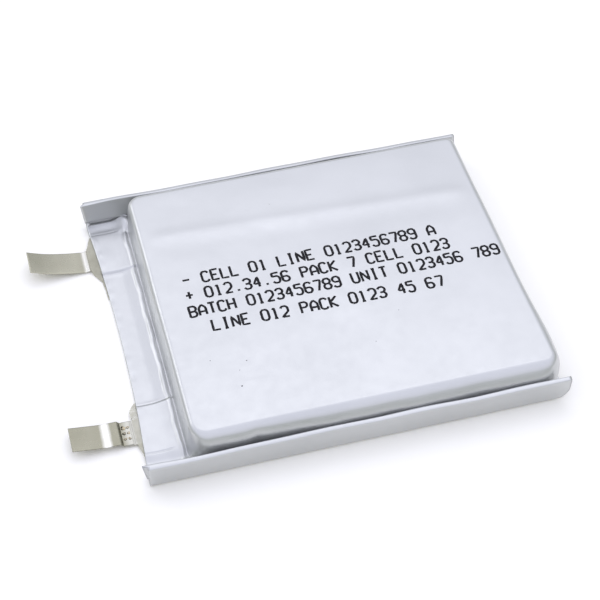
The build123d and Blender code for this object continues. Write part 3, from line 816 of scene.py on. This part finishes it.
def weld_marks():
    """Six small craters with raised rims where the strip was spot welded, each a little different."""
    draw = random.Random(7)
    verts, faces = [], []
    top, around = lead_low[2] + TAB_THICK, 20
    angles = 2 * math.pi * np.arange(around) / around
    low, high = box_mm("spot_welds")
    xs = (high[0] - WELD_RADIUS, low[0] + WELD_RADIUS)
    ys = (low[1] + WELD_RADIUS, (low[1] + high[1]) / 2, high[1] - WELD_RADIUS)
    # (share of the radius, height) outwards from the middle of a crater
    profile = [(0.35, 0.000), (0.52, 0.010), (0.72, 0.045), (0.92, 0.034), (1.08, -0.012)]
    for cx in xs:
        for cy in ys:
            radius = draw.uniform(0.17, 0.22) if (cx, cy) != (xs[1], ys[2]) else 0.28
            stretch, turn = draw.uniform(0.7, 1.0), draw.uniform(0, math.pi)
            wobble = radius * (1 + 0.10 * np.sin(3 * angles + turn) + 0.05 * np.sin(5 * angles - turn))
            along, across = wobble * np.cos(angles), wobble * stretch * np.sin(angles)
            x = along * math.cos(turn) - across * math.sin(turn)
            y = along * math.sin(turn) + across * math.cos(turn)
            rings = [np.c_[cx + x * share, cy + y * share, np.full(around, top + z)] for share, z in profile]
            add_disc(verts, faces, (cx, cy, top - 0.004), rings)
    piece = make_piece("weld_marks", verts, faces, WELD, "positive_tab")
    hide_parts("spot_welds")


weld_marks()


# ---- sealing films ----
def sealing_film(name, outline, pad, tab_low, tab_high, upper, node):
    """One of the two strips that seal a tab: it lies on the tab's face and meets its twin at both sides.
    outline is (y, x) points of its free edge. Outside the pad only a thin sliver hangs on the pouch."""
    outline = np.asarray(outline, float)
    ys = np.linspace(outline[0][0], outline[-1][0], 64)
    outer = np.interp(ys, outline[:, 0], outline[:, 1])
    sign, phase = (1, 1.4) if upper else (-1, 0.2)
    ragged = 0.045 * np.sin(7.3 * ys + phase) * np.sin(3.1 * ys) + 0.020 * np.sin(17.0 * ys)
    inner_x, middle, thick, columns = -19.0, 0.245, 0.080, 20
    over = smooth(tab_low - 0.45, tab_low - 0.05, ys) * smooth(tab_high + 0.45, tab_high + 0.05, ys)
    outer = outer + ragged * (1 - over)
    pad_low, pad_high = pad
    under = smooth(pad_low + 0.10, pad_low + 0.55, ys) * smooth(pad_high - 0.10, pad_high - 0.55, ys)
    verts, faces = [], []
    for layer in (0, 1):
        for k, y in enumerate(ys):
            seam = FILM + (middle - FILM) * under[k]
            near = seam + sign * (0.002 + 0.050 * over[k])
            far = near + sign * (thick - 0.004) * (0.45 + 0.55 * under[k])
            inner = float(edge_x(y)) - 0.02 + (inner_x - float(edge_x(y))) * float(smooth(0.6, 1.0, under[k]))
            for c in np.linspace(0, 1, columns) ** 1.6:
                x = outer[k] + (inner - outer[k]) * c
                thin = float(smooth(-0.02, 0.10, c))
                wave = 0.012 * math.sin(2.1 * y) * float(smooth(0.15, 0, c))
                z = near if layer == 0 else near + (far - near) * (0.35 + 0.65 * thin)
                verts.append((x, y, z + wave * (0.4 if over[k] > 0.5 else 1.0)))
    rows, total = len(ys), len(ys) * columns
    for quad in grid_faces(rows, columns):
        faces += [quad, tuple(total + v for v in quad[::-1])]
    rim = (list(range(columns)) + [k * columns + columns - 1 for k in range(1, rows)]
           + [(rows - 1) * columns + c for c in range(columns - 2, -1, -1)]
           + [k * columns for k in range(rows - 2, 0, -1)])
    for a, b in zip(rim, rim[1:] + rim[:1]):
        faces.append((b, a, total + a, total + b))
    piece = make_piece(name, verts, faces, SEALING_FILM)
    align_faces(piece)
    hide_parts(node)


NEGATIVE_OUTLINE = [(7.3, -22.02), (8.6, -22.06), (10.2, -22.20), (11.0, -22.62), (11.7, -23.02),
                    (12.06, -23.14), (14.0, -23.18), (15.7, -23.16), (16.3, -22.92), (17.2, -22.62),
                    (17.66, -22.49)]
POSITIVE_OUTLINE = [(-16.02, -22.24), (-15.3, -22.42), (-14.5, -22.64), (-14.1, -22.72), (-12.5, -22.75),
                    (-10.9, -22.74), (-10.67, -22.66), (-10.3, -22.80), (-9.6, -22.76), (-9.26, -22.72),
                    (-8.9, -22.50), (-8.45, -22.07)]
for level in ("lower", "upper"):
    sealing_film(f"negative_film_{level}", NEGATIVE_OUTLINE, PADS_Y[0], neg_low[1], neg_high[1],
                 level == "upper", f"negative_sealant_{level}")
    sealing_film(f"positive_film_{level}", POSITIVE_OUTLINE, PADS_Y[1], pos_low[1], pos_high[1],
                 level == "upper", f"positive_sealant_{level}")


# ---- printed lines ----
# Strokes of each character: each point is its x and y on a grid 4 wide and 6 high, a comma ends a stroke.
GLYPHS = {
    "0": "10 30 41 45 36 16 05 01 10", "1": "15 26 20,10 30", "2": "05 16 36 45 43 00 40",
    "3": "05 16 36 45 44 33 13,33 42 41 30 10 01", "4": "30 36 02 42", "5": "46 06 04 34 43 41 30 10 01",
    "6": "45 36 16 05 01 10 30 41 42 33 03", "7": "06 46 45 20",
    "8": "13 04 05 16 36 45 44 33 13 02 01 10 30 41 42 33", "9": "01 10 30 41 45 36 16 05 04 13 43",
    "A": "00 04 26 44 40,02 42", "B": "00 06 36 45 44 33 03,33 42 41 30 00", "C": "45 36 16 05 01 10 30 41",
    "E": "40 00 06 46,03 33", "H": "00 06,40 46,03 43", "I": "10 30,20 26,16 36", "K": "00 06,46 03 40",
    "L": "06 00 40", "N": "00 06 40 46", "P": "00 06 36 45 44 33 03", "T": "06 46,26 20",
    "U": "06 01 10 30 41 46", "-": "03 43", "+": "03 43,21 25", ".": "20 21",
}
# text, and the two ends of the line's middle on the cup
PRINT = [
    ("- CELL 01 LINE 0123456789 A", (-14.20, 3.30), (14.99, 3.64)),
    ("+ 012.34.56 PACK 7 CELL 0123", (-14.30, 0.93), (15.86, 1.21)),
    ("BATCH 0123456789 UNIT 0123456 789", (-14.43, -1.53), (20.92, -1.13)),
    ("LINE 012 PACK 0123 45 67", (-12.44, -4.04), (13.54, -4.24)),
]
STROKE_RADIUS, LETTER_HEIGHT = 0.142, 1.55
LETTER_START, LETTER_WIDTH = 0.15, 0.70  # shares of the step from one letter to the next
INK_RISE, INK_SINK = 0.014, 0.010  # how far the ink stands above the top and reaches below it


def top_z(x, y):
    """The outer face of the cup's flat top."""
    return CUP_SHOULDER_Z + float(crown(np.array(x), np.array(y)))


def printed_lines():
    """Every stroke as a thin rounded bead of ink that follows the cup's top."""
    curve = bpy.data.curves.new("print_strokes", "CURVE")
    curve.dimensions, curve.use_fill_caps = "3D", True
    curve.bevel_depth, curve.bevel_resolution = STROKE_RADIUS * MM, 2
    draw = random.Random(11)
    for text, start, end in PRINT:
        start, end = np.array(start), np.array(end)
        pitch = (end - start) / len(text)
        along = pitch / np.linalg.norm(pitch)
        up = np.array([-along[1], along[0]])
        width = np.linalg.norm(pitch) * LETTER_WIDTH
        for n, letter in enumerate(text):
            if letter == " ":
                continue
            origin = start + pitch * (n + LETTER_START) - up * LETTER_HEIGHT / 2
            origin = origin + along * draw.uniform(-0.02, 0.02) + up * draw.uniform(-0.02, 0.02)
            for stroke in GLYPHS[letter].split(","):
                points = [origin + along * int(column) / 4 * width + up * int(row) / 6 * LETTER_HEIGHT
                          for column, row in stroke.split()]
                points = resample(points, 3 * len(points))
                line = curve.splines.new("POLY")
                line.points.add(len(points) - 1)
                for point, (x, y) in zip(line.points, points):
                    point.co = (x * MM, y * MM, 0, 1)
                    point.radius = draw.uniform(0.92, 1.08)
    source = bpy.data.objects.new("print_source", curve)
    bpy.context.scene.collection.objects.link(source)
    mesh = bpy.data.meshes.new_from_object(source.evaluated_get(bpy.context.evaluated_depsgraph_get()))
    bpy.data.objects.remove(source)
    verts = []
    for v in mesh.vertices:
        x, y, z = np.array(v.co) / MM
        verts.append((x, y, top_z(x, y) + (INK_RISE if z > 0 else INK_SINK) * z / STROKE_RADIUS))
    faces = [tuple(p.vertices) for p in mesh.polygons]
    bpy.data.meshes.remove(mesh)
    make_piece("printed_lines", verts, faces, INK)


def specks():
    """A few stray dots of ink on the top."""
    verts, faces, around = [], [], 14
    angles = 2 * math.pi * np.arange(around) / around
    for x, y, radius in ((-11.16, -13.18, 0.10), (-13.6, -8.9, 0.055), (-9.9, -9.9, 0.07),
                         (-10.9, -11.0, 0.05), (7.5, -7.2, 0.05), (3.9, -10.9, 0.045), (-2.0, 12.6, 0.045)):
        r = radius * (1 + 0.15 * np.sin(2 * angles + x))
        rings = [np.c_[x + r * share * np.cos(angles), y + r * share * np.sin(angles),
                       np.full(around, top_z(x, y) + z)] for share, z in ((0.7, 0.012), (1.0, -0.008))]
        add_disc(verts, faces, (x, y, top_z(x, y) + 0.016), rings)
    make_piece("ink_specks", verts, faces, INK)


printed_lines()
specks()


# ---- floor, light and camera ----
def floor():
    """The white table that the cell lies on."""
    material, nodes, links, shader = new_material("floor")
    tone = noise(nodes, links, 6, 2.0)
    paint(nodes, links, shader, tone, (0.965, 0.95, 0.895), (0.975, 0.96, 0.91))
    shader.inputs["Roughness"].default_value = 0.9
    shader.inputs["Specular IOR Level"].default_value = 0.1
    shader.inputs["Emission Color"].default_value = (1.0, 0.985, 0.94, 1)
    shader.inputs["Emission Strength"].default_value = 0.06
    half_size, steps, z = 900, 12, -0.02
    line = np.linspace(-half_size, half_size, steps + 1)
    mesh = bpy.data.meshes.new("floor")
    verts = [(x * MM, y * MM, z * MM) for y in line for x in line]
    mesh.from_pydata(verts, [], grid_faces(len(line), len(line)))
    mesh.materials.append(material)
    obj = bpy.data.objects.new("floor", mesh)
    bpy.context.scene.collection.objects.link(obj)


def world(strength, horizon, shoulder, zenith):
    """A soft white surround, darker towards the horizon."""
    made = bpy.data.worlds.new("studio")
    made.use_nodes = True
    nodes, links = made.node_tree.nodes, made.node_tree.links
    coordinates, split = nodes.new("ShaderNodeTexCoord"), nodes.new("ShaderNodeSeparateXYZ")
    links.new(coordinates.outputs["Generated"], split.inputs["Vector"])
    colour = ramp(nodes, links, split.outputs["Z"], horizon, zenith, 0.0, 0.86)
    colour.node.color_ramp.elements.new(0.62).color = (*shoulder, 1)
    background = next(n for n in nodes if n.type == "BACKGROUND")
    links.new(colour, background.inputs["Color"])
    background.inputs["Strength"].default_value = strength
    bpy.context.scene.world = made


def softbox(name, azimuth, elevation, distance, size, power):
    """An area light aimed at the cell; azimuth 0 is on the camera's side, -Y, and grows towards +X."""
    a, e = math.radians(azimuth), math.radians(elevation)
    place = Vector((math.sin(a) * math.cos(e), -math.cos(a) * math.cos(e), math.sin(e))) * distance * MM
    light = bpy.data.lights.new(name, "AREA")
    light.shape, light.size, light.size_y = "RECTANGLE", size[0] * MM, size[1] * MM
    light.energy = power
    obj = bpy.data.objects.new(name, light)
    obj.matrix_world = Matrix.Translation(place) @ (-place).to_track_quat("-Z", "Y").to_matrix().to_4x4()
    bpy.context.scene.collection.objects.link(obj)


CAMERA_AIM = Vector((-1.72, -0.22, 2.0)) * MM
CAMERA_DISTANCE = 188.7
CAMERA_HEADING, CAMERA_ELEVATION, CAMERA_ROLL = 13.1, 46.5, -1.79
CAMERA_LENS = 102.5


def camera():
    heading, elevation = math.radians(CAMERA_HEADING), math.radians(CAMERA_ELEVATION)
    forward = Vector((math.sin(heading) * math.cos(elevation), math.cos(heading) * math.cos(elevation),
                      -math.sin(elevation)))
    level = forward.cross(Vector((0, 0, 1))).normalized()
    up = level.cross(forward)
    roll = math.radians(CAMERA_ROLL)
    right = level * math.cos(roll) + up * math.sin(roll)
    top = right.cross(forward)
    data = bpy.data.cameras.new("camera")
    data.lens, data.sensor_width = CAMERA_LENS, 36.0
    data.clip_start, data.clip_end = 0.005, 10.0
    obj = bpy.data.objects.new("camera", data)
    place = CAMERA_AIM - forward * CAMERA_DISTANCE * MM
    obj.matrix_world = Matrix.Translation(place) @ Matrix((right, top, -forward)).transposed().to_4x4()
    bpy.context.scene.collection.objects.link(obj)
    bpy.context.scene.camera = obj


floor()
world(1.08, (0.33, 0.365, 0.295), (0.95, 0.965, 1.09), (1.02, 1.04, 1.20))
softbox("side", -141, 32, 420, (150, 150), 0.10)
softbox("over", 156, 58, 480, (420, 230), 0.19)
camera()
bpy.context.scene.view_settings.view_transform = "Standard"
